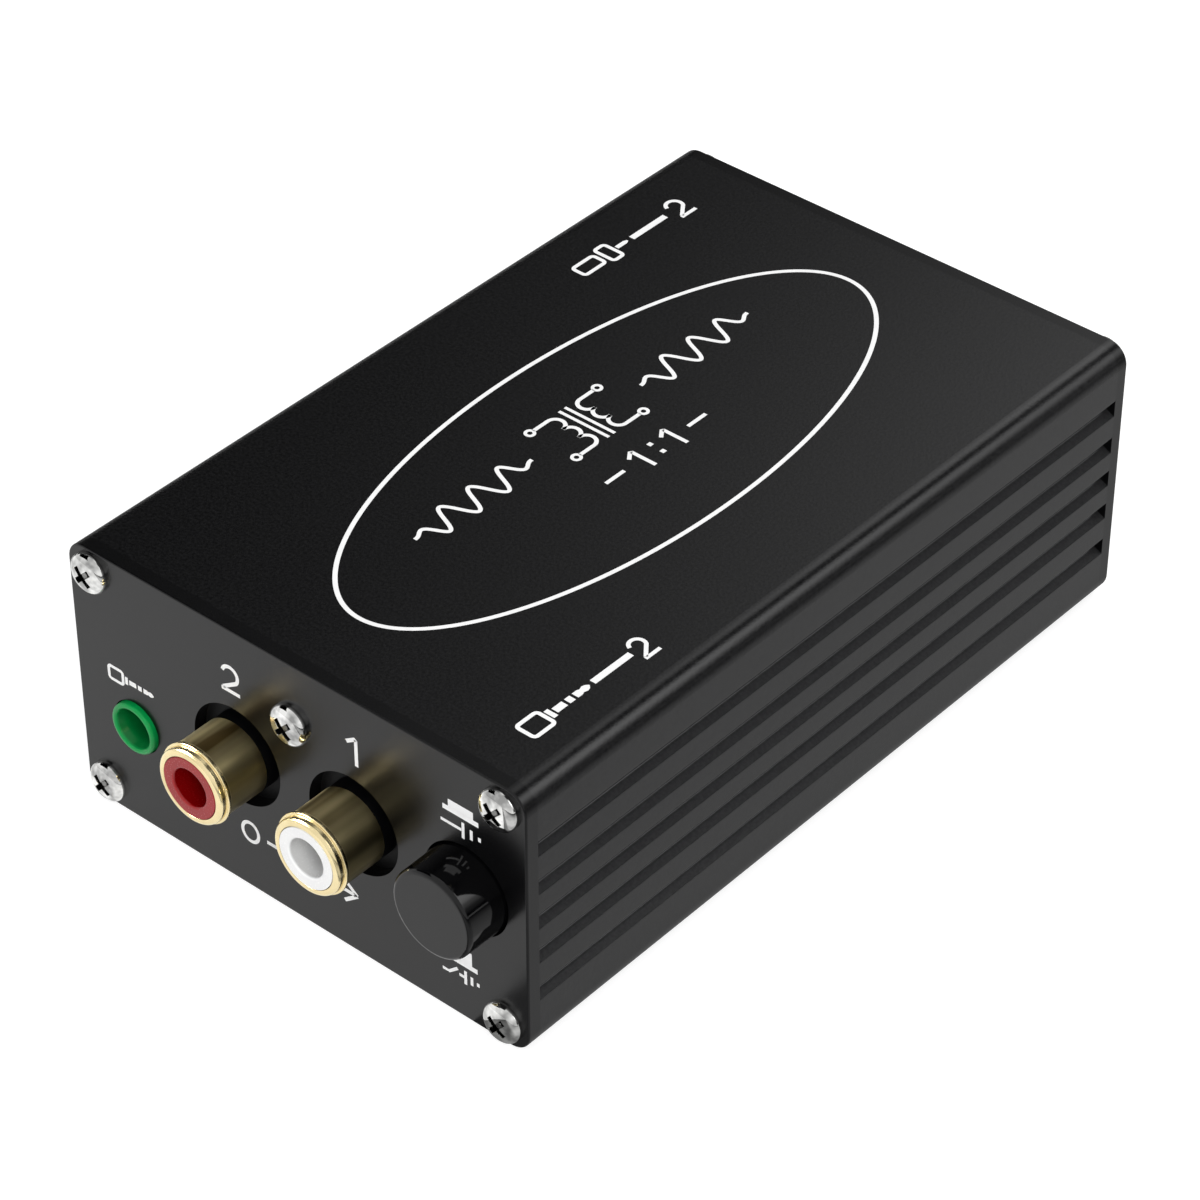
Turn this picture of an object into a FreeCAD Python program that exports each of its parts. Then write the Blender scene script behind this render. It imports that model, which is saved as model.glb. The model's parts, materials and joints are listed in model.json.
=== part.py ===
import FreeCAD, Part
import math
import os

# Ground loop isolator: grooved extruded case, two end plates with sockets, push switch, board, transformers.
# Frame: X across the case, Y along it (front plate at -Y), Z up, origin under the middle. Millimetres.
# Socket sets are drawn with the plate's outer face at y = 0 and +y going into the case.

V = FreeCAD.Vector

# Case
case_width = 55.6
case_height = 30.0
case_length = 87.4            # over both end plates
corner_radius = 2.2
roof_wall = 1.6               # top and bottom walls
side_wall = 2.4               # side walls, before the grooves
inner_radius = 0.8
plate_thickness = 1.5
plate_edge = 0.2              # rounding of a plate's outer edge

# Side grooves
groove_rise = 0.0             # middle groove above the middle of the case
groove_step = 4.0             # between the three middle grooves
groove_step_outer = 4.4       # out to the first and last groove
groove_mouth = 1.75
groove_floor = 0.95
groove_depth = 0.95
groove_slope = 0.45           # how far the lower face slopes below the floor
groove_upper_lip = 0.3
groove_lower_lip = 0.1
groove_corner = 0.15

# Screws
screw_inset_x = 2.9
screw_inset_z = 2.55
channel_bore = 1.35
channel_radius = 2.35
channel_slot = 1.0
shank_gap = 0.05
shank_clearance = 0.25        # hole in a plate, beyond the shank
panel_screw_length = 8.0
head_radius = 2.15
head_height = 1.15
head_round = 0.9
screw_point = 1.2             # tapered end of the shank
screw_tip_radius = 0.7
recess_arm = 1.35
recess_width = 0.55
recess_depth = 0.8
recess_turn = 45.0            # degrees, arms against the case's sides

# Circuit board and its rails
rail_above_channel = 0.3
board_thickness = 1.6
board_side_gap = 0.2
board_end_gap = 0.25
rail_reach = 1.1
rail_height = 1.2
rail_root = 0.2               # buried in the wall
rail_play = 0.15
pin_width = 0.6
pin_hole_gap = 0.1
pin_below = 1.1               # length of a pin under the board

# Phono sockets
jack_rise = 0.5               # socket axis above the middle of the case
jack_reach = 6.1              # in front of the plate
jack_hole_radius = 5.4
shell_radius = 3.95
shell_wall = 0.7
shell_seat = 4.0              # depth of the shell in the block
lip_radius = 4.2
lip_length = 1.3
lip_front = 0.75              # length over which the lip widens behind the face
lip_crest = 0.25              # length of its widest part
lip_face_radius = 4.0
lip_face_round = 0.15
lip_round = 0.2
lip_root = 0.15
collar_reach = 0.15           # plastic collar behind the shell, in front of the plate
tube_radius = 3.6             # of the shell inside the collar
insulator_wall = 1.2
insulator_seat = 6.0
insulator_mouth = 0.25
contact_radius = 2.3
contact_bore = 1.65
contact_behind_face = 4.6
contact_mouth = 0.15
contact_slit = 0.4
contact_slit_length = 5.0
fit_gap = 0.05                # between pieces fitted together
joint_depth = 0.1             # how far shapes of one piece run into each other
past = 1.0                    # how far a cut starts and ends beyond the faces

# Socket block
block_to_switch = 3.0         # each socket is in the middle of its half of the block
block_depth = 10.5
block_above = 5.6             # above the socket axis
block_round = 0.8
boss_width = 8.4
boss_depth = 9.6
jack_screw_drop = 6.85        # below the top of the case
boss_above = 2.7
jack_screw_length = 8.0
block_pin_row = 4.0
block_pin_offset = 2.6

# Stereo sockets
aux_inset = 7.3               # from the case's side
aux_above_board = 3.5
aux_reach = 0.6
aux_nose_radius = 2.75
aux_hole_gap = 0.12
aux_mouth_radius = 2.2
aux_bore_radius = 1.8
aux_funnel = 1.1
aux_lip = 0.12
aux_nose_round = 0.3
aux_funnel_round = 1.2
aux_body_round = 0.4
aux_pin_inset = 0.8
aux_pin_front = 2.0
aux_pin_back = 1.0
aux_floor = 0.8               # solid end of the body behind the bore
aux_body_width = 6.4
aux_body_above = 3.4
aux_body_depth = 12.5
aux_contact_thickness = 0.3
aux_contact_width = 1.6
aux_contact_inset = 0.1       # strip below the body's side
aux_contact_start = 2.6       # behind the plate's inner face
aux_contact_length = 2.8
aux_contact_foot = 0.45       # straight end of a strip
aux_contact_step = 3.2        # from one contact to the next along the bore

# Push switch
button_inset = 7.1            # from the case's side
button_rise = 0.75            # above the middle of the case
button_radius = 4.7
button_draft = 0.1            # how much narrower its face is
button_reach = 4.6
button_edge = 0.45
button_tail = 2.2             # behind the plate's outer face
button_wall = 0.9
button_front_wall = 1.0
button_boss = 2.6
button_travel = 2.5
hole_gap = 0.2                # between button and plate
stem_width = 3.0
stem_in_button = 3.8
button_clear = 0.9            # pressed button to the switch housing
switch_width = 6.6
switch_wall = 1.0
switch_above = 3.9
switch_round = 0.5
switch_pin_inset = 1.2
switch_pin_step = 3.0
carriage_depth = 4.0
carriage_round = 0.4
running_gap = 0.15
tail_radius = 0.9
tail_clear = 0.4              # pressed tail to the end of the housing
spring_room = 5.8             # carriage to the end of the housing
spring_radius = 1.6
spring_wire = 0.4
spring_turns = 5

# Transformers
transformer_gap = 6.0
core_width = 16.0
core_height = 13.0
core_thickness = 5.5
core_yoke = 2.0
core_limb = 4.0
bobbin_wall = 0.5
bobbin_flange = 0.6
bobbin_width = 13.0
bobbin_play = 0.1
winding_inset = 0.5
winding_round = 1.0
transformer_pin_inset = 1.0

# Worked out from the sizes above
plate_y = case_length / 2
board_bottom = screw_inset_z + channel_radius + rail_above_channel + rail_height
board_top = board_bottom + board_thickness
inner_half = case_width / 2 - side_wall
screw_x = case_width / 2 - screw_inset_x
screw_z = [screw_inset_z, case_height - screw_inset_z]
shank_radius = channel_bore - shank_gap
plate_hole = shank_radius + shank_clearance
middle_height = case_height / 2
groove_centre = middle_height + groove_rise
groove_heights = [groove_centre + s * groove_step for s in (-1, 0, 1)]
groove_heights += [groove_centre + s * (groove_step + groove_step_outer) for s in (-1, 1)]
insulator_radius = shell_radius - shell_wall - fit_gap
bore_radius = insulator_radius - insulator_wall
button_x = case_width / 2 - button_inset
button_height = middle_height + button_rise
button_hole = button_radius + hole_gap
block_half = button_x - switch_width / 2 - block_to_switch
jack_x = block_half / 2
jack_height = middle_height + jack_rise
jack_screw_height = case_height - jack_screw_drop
aux_x = aux_inset - case_width / 2
aux_height = board_top + aux_above_board
transformer_x = (core_width + transformer_gap) / 2
switch_front = button_tail + button_travel + button_clear
carriage_front = switch_front + switch_wall + running_gap
carriage_back = carriage_front + carriage_depth
switch_back = carriage_back + spring_room + switch_wall
switch_middle = (switch_front + switch_back) / 2
tail_length = spring_room - button_travel - tail_clear


def box(x0, x1, y0, y1, z0, z1):
    return Part.makeBox(x1 - x0, y1 - y0, z1 - z0, V(x0, y0, z0))


def rod(x, z, radius, y0, y1):
    # round bar along Y
    return Part.makeCylinder(radius, y1 - y0, V(x, y0, z), V(0, 1, 0))


def joined(shapes):
    whole = shapes[0]
    for shape in shapes[1:]:
        whole = whole.fuse(shape)
    return whole.removeSplitter()


def rounded_wire(corners, place):
    # closed outline through corners (a, b, radius), each corner a tangent arc
    ends = []
    for i, (a, b, radius) in enumerate(corners):
        here = V(a, b, 0)
        before = V(*corners[i - 1][:2], 0).sub(here).normalize()
        after = V(*corners[(i + 1) % len(corners)][:2], 0).sub(here).normalize()
        half = before.getAngle(after) / 2
        reach = radius / math.tan(half)
        middle = before.add(after).normalize().multiply(radius / math.sin(half) - radius)
        start = here.add(V(before).multiply(reach))
        end = here.add(V(after).multiply(reach))
        ends.append([start, here.add(middle), end])
    edges = []
    for i, (start, middle, end) in enumerate(ends):
        if start.distanceToPoint(end) > 1e-6:
            edges.append(Part.Arc(place(start), place(middle), place(end)).toShape())
        following = ends[(i + 1) % len(ends)][0]
        if end.distanceToPoint(following) > 1e-6:
            edges.append(Part.LineSegment(place(end), place(following)).toShape())
    return Part.Wire(edges)


def bar(corners, y0, y1):
    # outline in X and Z, drawn out along Y
    wire = rounded_wire(corners, lambda p: V(p.x, y0, p.y))
    return Part.Face(wire).extrude(V(0, y1 - y0, 0))


def turned(corners, x, z):
    # outline in radius and Y, turned about the line through x and z along Y
    wire = rounded_wire(corners, lambda p: V(p.x, p.y, 0))
    solid = Part.Face(wire).revolve(V(0, 0, 0), V(0, 1, 0), 360)
    solid.translate(V(x, 0, z))
    return solid


def rectangle(x0, x1, z0, z1, radius):
    return [(x0, z0, radius), (x1, z0, radius), (x1, z1, radius), (x0, z1, radius)]


def square_pins(places, top):
    # solder pins from the underside of what they carry to below the board
    half = pin_width / 2
    low = board_bottom - pin_below
    return Part.makeCompound([box(x - half, x + half, y - half, y + half, low, top) for x, y in places])


# Case
def groove_outline(height):
    # groove in the right-hand wall: lower face sloping outwards, both lips rounded into the wall's face
    face = case_width / 2
    floor = face - groove_depth
    top = height + groove_mouth / 2
    low = height - groove_mouth / 2
    floor_low = low + groove_slope
    below = low - groove_lower_lip
    above = top + groove_upper_lip
    return [
        (face + past, below, 0), (face, below, 0), (face, low, groove_lower_lip / 2),
        (floor, floor_low, groove_corner), (floor, floor_low + groove_floor, groove_corner),
        (face, top, groove_upper_lip), (face, above, 0), (face + past, above, 0),
    ]


def screw_channel(x, z, y0, y1):
    # slotted tube that a self-tapping screw cuts into, open towards the middle of the case
    return rod(x, z, channel_radius, y0, y1)


def channel_opening(x, z, y0, y1):
    # its bore, with a slot at 45 degrees
    inward_x = -math.copysign(1, x)
    inward_z = math.copysign(1, middle_height - z)
    slot = box(0, 2 * channel_radius, y0, y1, -channel_slot / 2, channel_slot / 2)
    angle = math.degrees(math.atan2(inward_z, inward_x))
    slot.rotate(V(0, 0, 0), V(0, 1, 0), -angle)
    slot.translate(V(x, 0, z))
    return slot.fuse(rod(x, z, channel_bore, y0, y1))


def board_rail(side, z0, y0, y1):
    wall = side * (inner_half + rail_root)
    tip = side * (inner_half - rail_reach)
    return box(min(wall, tip), max(wall, tip), y0, y1, z0, z0 + rail_height)


def mirrored(shape):
    return shape.mirror(V(0, 0, 0), V(1, 0, 0))


def case_extrusion():
    y1 = plate_y - plate_thickness
    y0 = -y1
    outside = bar(rectangle(-case_width / 2, case_width / 2, 0, case_height, corner_radius), y0, y1)
    inside = bar(rectangle(-inner_half, inner_half, roof_wall, case_height - roof_wall, inner_radius), y0, y1)
    grooves = [bar(groove_outline(h), y0, y1) for h in groove_heights]
    body = outside.cut(inside)
    body = body.cut(grooves + [mirrored(g) for g in grooves])
    corners = [(x, z) for x in (-screw_x, screw_x) for z in screw_z]
    rail_heights = [board_bottom - rail_height, board_top + rail_play]
    additions = [screw_channel(x, z, y0, y1) for x, z in corners]
    additions += [board_rail(side, z, y0, y1) for side in (-1, 1) for z in rail_heights]
    body = joined([body] + additions)
    return body.cut([channel_opening(x, z, y0, y1) for x, z in corners])


def plate_blank():
    blank = bar(rectangle(-case_width / 2, case_width / 2, 0, case_height, corner_radius), 0, plate_thickness)
    rim = [e for e in blank.Edges if e.BoundBox.YMax < plate_edge]
    return blank.makeFillet(plate_edge, rim)


def end_plate(with_button):
    holes = [(x, jack_height, jack_hole_radius) for x in (-jack_x, jack_x)]
    holes.append((aux_x, aux_height, aux_nose_radius + aux_hole_gap))
    holes.append((0, jack_screw_height, plate_hole))
    holes += [(x, z, plate_hole) for x in (-screw_x, screw_x) for z in screw_z]
    if with_button:
        holes.append((button_x, button_height, button_hole))
    return plate_blank().cut([rod(x, z, radius, -past, plate_thickness + past) for x, z, radius in holes])


# Screws
def screw(x, z, length):
    # pan head on the plate's outer face, with a cross recess, and a plain tapered shank
    outline = [
        (0, -head_height, 0), (head_radius, -head_height, head_round), (head_radius, 0, 0),
        (shank_radius, 0, 0), (shank_radius, length - screw_point, 0), (screw_tip_radius, length, 0),
        (0, length, 0),
    ]
    arm = recess_width / 2
    bottom = recess_depth - head_height
    top = -head_height - past
    cross = box(-recess_arm, recess_arm, top, bottom, -arm, arm)
    cross = cross.fuse(box(-arm, arm, top, bottom, -recess_arm, recess_arm))
    cross.rotate(V(0, 0, 0), V(0, 1, 0), recess_turn)
    cross.translate(V(x, 0, z))
    return turned(outline, x, z).cut(cross)


def panel_screws():
    return Part.makeCompound([screw(x, z, panel_screw_length) for x in (-screw_x, screw_x) for z in screw_z])


def jack_screw():
    return screw(0, jack_screw_height, jack_screw_length)


# Phono sockets
def jack_block():
    # moulded block behind the plate, with a screw boss and a collar through the plate round each shell
    y0 = plate_thickness
    body = bar(rectangle(-block_half, block_half, board_top, jack_height + block_above, block_round),
               y0, y0 + block_depth)
    boss_top = jack_screw_height + boss_above
    boss_half = boss_width / 2
    boss = bar(rectangle(-boss_half, boss_half, jack_height, boss_top, block_round), y0, y0 + boss_depth)
    collars = [rod(x, jack_height, shell_radius, -collar_reach, y0 + joint_depth) for x in (-jack_x, jack_x)]
    cuts = [rod(0, jack_screw_height, channel_bore, y0, y0 + jack_screw_length)]
    for x in (-jack_x, jack_x):
        cuts.append(rod(x, jack_height, tube_radius + fit_gap, -collar_reach - past, y0 + shell_seat))
        cuts.append(rod(x, jack_height, insulator_radius + fit_gap, y0, y0 + insulator_seat))
    return joined([body, boss] + collars).cut(cuts)


def jack_shell(x):
    # metal tube with a lip at its mouth, narrower where it sits in the block's collar
    inner = shell_radius - shell_wall
    face = -jack_reach
    crest = face + lip_front
    outline = [
        (inner, face, 0), (lip_face_radius, face, lip_face_round), (lip_radius, crest, lip_round),
        (lip_radius, crest + lip_crest, lip_round), (shell_radius, face + lip_length, lip_root),
        (shell_radius, -collar_reach - fit_gap, 0), (tube_radius, -collar_reach - fit_gap, 0),
        (tube_radius, plate_thickness + shell_seat, 0), (inner, plate_thickness + shell_seat, 0),
    ]
    return turned(outline, x, jack_height)


def jack_insulator(x):
    # plastic sleeve, its bore stepped wider where the contact sits
    end = plate_thickness + insulator_seat
    step = contact_behind_face - jack_reach
    wide = contact_radius + fit_gap
    outline = [
        (bore_radius, -jack_reach, insulator_mouth), (insulator_radius, -jack_reach, 0),
        (insulator_radius, end, 0), (wide, end, 0), (wide, step, 0), (bore_radius, step, 0),
    ]
    return turned(outline, x, jack_height)


def jack_contact(x):
    # slit tube that grips a plug's pin, trapped behind the insulator's step
    y0 = contact_behind_face - jack_reach + fit_gap
    y1 = plate_thickness + insulator_seat
    outline = [
        (contact_bore, y0, contact_mouth), (contact_radius, y0, 0),
        (contact_radius, y1, 0), (contact_bore, y1, 0),
    ]
    tube = turned(outline, x, jack_height)
    half = contact_slit / 2
    wide = contact_radius + past
    slit_end = y0 + contact_slit_length
    slit = box(x - wide, x + wide, y0 - past, slit_end, jack_height - half, jack_height + half)
    return tube.cut(slit)


def jack_pin_places():
    rows = (plate_thickness + block_pin_row, plate_thickness + block_pin_row + block_pin_offset)
    pair = list(zip((-block_pin_offset, block_pin_offset), rows))
    return [(x + dx, y) for x in (-jack_x, jack_x) for dx, y in pair]


# Stereo sockets
def aux_contact_place(number):
    # start along Y and angle about the bore: sleeve, ring and tip contacts one behind another
    return plate_thickness + aux_contact_start + number * aux_contact_step, (0, -90, 180)[number]


def aux_contact_slot(number):
    start, angle = aux_contact_place(number)
    half = aux_contact_width / 2 + fit_gap
    inner = aux_bore_radius - aux_contact_thickness
    slot = box(inner, aux_body_width, start - fit_gap, start + aux_contact_length + fit_gap, -half, half)
    slot.rotate(V(0, 0, 0), V(0, 1, 0), angle)
    slot.translate(V(aux_x, 0, aux_height))
    return slot


def aux_housing():
    half = aux_body_width / 2
    back = plate_thickness + aux_body_depth
    mouth = aux_mouth_radius + aux_lip
    body = bar(rectangle(aux_x - half, aux_x + half, board_top, aux_height + aux_body_above, aux_body_round),
               plate_thickness, back)
    root = plate_thickness + aux_floor
    nose = turned([
        (0, -aux_reach, 0), (aux_nose_radius, -aux_reach, aux_nose_round),
        (aux_nose_radius, root, 0), (0, root, 0),
    ], aux_x, aux_height)
    bore = turned([
        (0, -aux_reach - past, 0), (mouth, -aux_reach - past, 0), (mouth, -aux_reach, 0),
        (aux_mouth_radius, aux_lip - aux_reach, 0),
        (aux_bore_radius, aux_funnel - aux_reach, aux_funnel_round),
        (aux_bore_radius, back - aux_floor, 0), (0, back - aux_floor, 0),
    ], aux_x, aux_height)
    return joined([body, nose]).cut([bore] + [aux_contact_slot(n) for n in range(3)])


def aux_contact(number):
    # bent strip in its slot, bowed towards the plug
    y0, angle = aux_contact_place(number)
    y1 = y0 + aux_contact_length
    outer = aux_body_width / 2 - aux_contact_inset
    inner = outer - aux_contact_thickness
    bow = inner - aux_bore_radius - fit_gap
    middle = (y0 + y1) / 2
    bend = aux_contact_thickness
    foot = aux_contact_foot
    outline = [
        (outer, y0, 0), (outer, y0 + foot, bend), (outer - bow, middle, bend), (outer, y1 - foot, bend),
        (outer, y1, 0), (inner, y1, 0), (inner, y1 - foot, bend), (inner - bow, middle, bend),
        (inner, y0 + foot, bend), (inner, y0, 0),
    ]
    half = aux_contact_width / 2
    wire = rounded_wire(outline, lambda p: V(p.x, p.y, -half))
    strip = Part.Face(wire).extrude(V(0, 0, aux_contact_width))
    strip.rotate(V(0, 0, 0), V(0, 1, 0), angle)
    strip.translate(V(aux_x, 0, aux_height))
    return strip


def aux_contacts():
    return Part.makeCompound([aux_contact(n) for n in range(3)])


def aux_pin_places():
    side = aux_body_width / 2 - aux_pin_inset
    rows = (plate_thickness + aux_pin_front, plate_thickness + aux_body_depth - aux_pin_back)
    return [(aux_x + s * side, y) for y in rows for s in (-1, 1)]


# Push switch
def button_cap():
    # round, slightly tapered cap with a hollow back and a square socket for the stem
    outline = [
        (0, -button_reach, 0), (button_radius - button_draft, -button_reach, button_edge),
        (button_radius, button_tail, 0), (0, button_tail, 0),
    ]
    cap = turned(outline, button_x, button_height)
    hollow_start = button_front_wall - button_reach
    hollow = rod(button_x, button_height, button_radius - button_wall, hollow_start, button_tail + past)
    boss = rod(button_x, button_height, button_boss, hollow_start - joint_depth, button_tail)
    half = stem_width / 2 + fit_gap
    socket = box(button_x - half, button_x + half, button_tail - stem_in_button, button_tail + past,
                 button_height - half, button_height + half)
    return joined([cap.cut(hollow), boss]).cut(socket)


def switch_plunger():
    # square stem, carriage in the housing and a round tail inside the spring
    half = stem_width / 2
    wide = switch_width / 2 - switch_wall - running_gap
    high = switch_above - switch_wall - running_gap
    stem = box(button_x - half, button_x + half, button_tail - stem_in_button, carriage_front + joint_depth,
               button_height - half, button_height + half)
    carriage = bar(rectangle(button_x - wide, button_x + wide, button_height - high, button_height + high,
                             carriage_round),
                   carriage_front, carriage_back)
    tail = rod(button_x, button_height, tail_radius, carriage_back - joint_depth,
               carriage_back + tail_length)
    return joined([stem, carriage, tail])


def switch_housing():
    half = switch_width / 2
    top = button_height + switch_above
    body = bar(rectangle(button_x - half, button_x + half, board_top, top, switch_round),
               switch_front, switch_back)
    wide = half - switch_wall
    high = switch_above - switch_wall
    chamber = box(button_x - wide, button_x + wide, switch_front + switch_wall, switch_back - switch_wall,
                  button_height - high, button_height + high)
    gate = stem_width / 2 + running_gap
    opening = box(button_x - gate, button_x + gate, switch_front - past, switch_front + switch_wall + past,
                  button_height - gate, button_height + gate)
    return body.cut([chamber, opening])


def switch_spring():
    # return spring between the carriage and the back of the housing, one face for each turn
    y0 = carriage_back + spring_wire / 2
    height = spring_room - spring_wire
    helix = Part.makeLongHelix(height / spring_turns, height, spring_radius)
    ring = Part.Wire([Part.makeCircle(spring_wire / 2, V(spring_radius, 0, 0), V(0, 1, 0))])
    coil = Part.Wire(helix).makePipeShell([ring], True, True)
    coil.rotate(V(0, 0, 0), V(1, 0, 0), -90)
    coil.translate(V(button_x, y0, button_height))
    return coil


def switch_pin_places():
    side = switch_width / 2 - switch_pin_inset
    rows = [switch_middle + row * switch_pin_step for row in (-1, 0, 1)]
    return [(button_x + s * side, y) for s in (-1, 1) for y in rows]


# Transformers
def transformer_core(x):
    # laminated core with a window on each side of its middle limb
    half = core_width / 2
    y = core_thickness / 2
    z0 = board_top
    z1 = z0 + core_height
    block = box(x - half, x + half, -y, y, z0, z1)
    limb = core_limb / 2
    sides = [(x - window_edge(), x - limb), (x + limb, x + window_edge())]
    return block.cut([box(x0, x1, -y, y, z0 + core_yoke, z1 - core_yoke) for x0, x1 in sides])


def window_edge():
    # middle of the core to the inner face of a side limb
    return core_width / 2 - core_limb / 2


def transformer_bobbin(x):
    # spool on the middle limb, with feet that stand on the board beside the core
    wide = window_edge() - bobbin_play
    y = bobbin_width / 2
    z0 = board_top + core_yoke
    z1 = board_top + core_height - core_yoke
    limb_x = core_limb / 2 + fit_gap
    limb_y = core_thickness / 2 + fit_gap
    flanges = [box(x - wide, x + wide, -y, y, z, z + bobbin_flange) for z in (z0, z1 - bobbin_flange)]
    tube_x = limb_x + bobbin_wall
    tube_y = limb_y + bobbin_wall
    tube = box(x - tube_x, x + tube_x, -tube_y, tube_y, z0, z1)
    foot_top = z0 + bobbin_flange
    feet = [box(x - wide, x + wide, y0, y1, board_top, foot_top) for y0, y1 in ((-y, -tube_y), (tube_y, y))]
    hole = box(x - limb_x, x + limb_x, -limb_y, limb_y, z0 - past, z1 + past)
    return joined([tube] + flanges + feet).cut(hole)


def transformer_winding(x):
    z0 = board_top + core_yoke + bobbin_flange
    z1 = board_top + core_height - core_yoke - bobbin_flange
    wide = window_edge() - bobbin_play - winding_inset
    deep = bobbin_width / 2 - winding_inset
    inner_x = core_limb / 2 + fit_gap + bobbin_wall + fit_gap
    inner_y = core_thickness / 2 + fit_gap + bobbin_wall + fit_gap
    wire = rounded_wire(rectangle(-wide, wide, -deep, deep, winding_round), lambda p: V(x + p.x, p.y, z0))
    wound = Part.Face(wire).extrude(V(0, 0, z1 - z0))
    return wound.cut(box(x - inner_x, x + inner_x, -inner_y, inner_y, z0 - past, z1 + past))


def transformer_pin_places(x):
    side = window_edge() - bobbin_play - transformer_pin_inset
    end = bobbin_width / 2 - transformer_pin_inset
    return [(x + i * side, j * end) for i in (-1, 1) for j in (-1, 1)]


# Placing
def at_front(shape):
    shape.translate(V(0, -plate_y, 0))
    return shape


def at_rear(shape):
    shape.translate(V(0, -plate_y, 0))
    shape.rotate(V(0, 0, 0), V(0, 0, 1), 180)
    return shape


def front_place(place):
    return place[0], place[1] - plate_y


def rear_place(place):
    return -place[0], plate_y - place[1]


def circuit_board(pin_places):
    half = inner_half - board_side_gap
    end = plate_y - plate_thickness - board_end_gap
    board = box(-half, half, -end, end, board_bottom, board_top)
    hole = pin_width / 2 + pin_hole_gap
    return board.cut([box(x - hole, x + hole, y - hole, y + hole, board_bottom - past, board_top + past)
                      for x, y in pin_places])


def socket_set(end, put):
    # one end's sockets, their block, screw and solder pins
    nodes = {
        end + "_panel_screws": put(panel_screws()),
        end + "_jack_screw": put(jack_screw()),
        end + "_jack_block": put(jack_block()),
        end + "_jack_pins": put(square_pins(jack_pin_places(), board_top)),
        end + "_aux_housing": put(aux_housing()),
        end + "_aux_contacts": put(aux_contacts()),
        end + "_aux_pins": put(square_pins(aux_pin_places(), board_top)),
    }
    for colour, x in (("red", -jack_x), ("white", jack_x)):
        nodes[end + "_" + colour + "_shell"] = put(jack_shell(x))
        nodes[end + "_" + colour + "_insulator"] = put(jack_insulator(x))
        nodes[end + "_" + colour + "_contact"] = put(jack_contact(x))
    return nodes


def transformer(side, x):
    return {
        side + "_transformer_core": transformer_core(x),
        side + "_transformer_bobbin": transformer_bobbin(x),
        side + "_transformer_winding": transformer_winding(x),
        side + "_transformer_pins": square_pins(transformer_pin_places(x), board_top),
    }


def main():
    end_places = jack_pin_places() + aux_pin_places()
    places = [front_place(p) for p in end_places + switch_pin_places()] + [rear_place(p) for p in end_places]
    places += transformer_pin_places(-transformer_x) + transformer_pin_places(transformer_x)
    nodes = {
        "case_extrusion": case_extrusion(),
        "front_panel": at_front(end_plate(True)),
        "rear_panel": at_rear(end_plate(False)),
        "circuit_board": circuit_board(places),
        "button_cap": at_front(button_cap()),
        "switch_plunger": at_front(switch_plunger()),
        "switch_housing": at_front(switch_housing()),
        "switch_spring": at_front(switch_spring()),
        "switch_pins": at_front(square_pins(switch_pin_places(), board_top)),
    }
    nodes.update(socket_set("front", at_front))
    nodes.update(socket_set("rear", at_rear))
    nodes.update(transformer("left", -transformer_x))
    nodes.update(transformer("right", transformer_x))
    os.makedirs("parts", exist_ok=True)
    for name, shape in nodes.items():
        shape.exportStep("parts/" + name + ".step")
        print(name, len(shape.Solids), shape.isValid(), round(shape.Volume, 2))


main()
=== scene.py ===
import json
import math
import bmesh
import bpy
import numpy as np
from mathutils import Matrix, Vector


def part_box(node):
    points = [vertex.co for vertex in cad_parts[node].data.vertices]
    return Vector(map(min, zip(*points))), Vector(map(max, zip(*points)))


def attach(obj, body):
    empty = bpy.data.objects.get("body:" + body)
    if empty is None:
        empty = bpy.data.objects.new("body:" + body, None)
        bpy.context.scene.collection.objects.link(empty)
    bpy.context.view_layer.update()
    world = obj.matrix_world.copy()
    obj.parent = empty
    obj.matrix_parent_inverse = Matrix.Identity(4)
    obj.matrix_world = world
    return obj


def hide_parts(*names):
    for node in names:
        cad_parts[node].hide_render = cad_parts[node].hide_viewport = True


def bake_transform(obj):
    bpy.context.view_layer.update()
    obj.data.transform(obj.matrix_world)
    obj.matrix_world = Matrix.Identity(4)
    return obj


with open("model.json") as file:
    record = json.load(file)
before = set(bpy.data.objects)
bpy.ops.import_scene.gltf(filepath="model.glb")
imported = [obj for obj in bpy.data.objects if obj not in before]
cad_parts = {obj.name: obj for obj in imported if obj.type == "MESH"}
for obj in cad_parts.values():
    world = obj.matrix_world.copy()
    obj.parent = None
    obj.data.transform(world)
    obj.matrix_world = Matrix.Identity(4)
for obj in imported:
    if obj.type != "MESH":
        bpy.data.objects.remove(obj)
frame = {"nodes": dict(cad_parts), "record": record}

# Every size below is in millimetres unless it says otherwise, in the part's own frame:
# X across the case, Y along it with the front plate at -Y, Z up.
scene = bpy.context.scene
nodes = frame["nodes"]
slotOfNode = {part["node"]: part["material_slot"] for part in frame["record"]["subparts"]}
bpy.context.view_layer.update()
mm = 0.001

print("stage: camera")
cameraSetup = {
    "azimuth": 40.76, "elevation": 38.47,       # degrees, azimuth 0 looks along +Y
    "distance": 413.8, "lens": 128.7,
    "target": (-1.63, 0.0, 9.95),
}


def makeCamera(setup):
    # place = target + distance * (sin a cos e, -cos a cos e, sin e), looking back at the target
    a, e = math.radians(setup["azimuth"]), math.radians(setup["elevation"])
    away = Vector((math.sin(a) * math.cos(e), -math.cos(a) * math.cos(e), math.sin(e)))
    data = bpy.data.cameras.new("camera")
    data.lens = setup["lens"]
    data.sensor_width = 36.0
    data.clip_start = 0.01
    data.clip_end = 20.0
    camera = bpy.data.objects.new("camera", data)
    camera.location = (Vector(setup["target"]) + away * setup["distance"]) * mm
    camera.rotation_euler = away.to_track_quat("Z", "Y").to_euler()
    scene.collection.objects.link(camera)
    scene.camera = camera


makeCamera(cameraSetup)
scene.view_settings.view_transform = "Standard"


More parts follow.
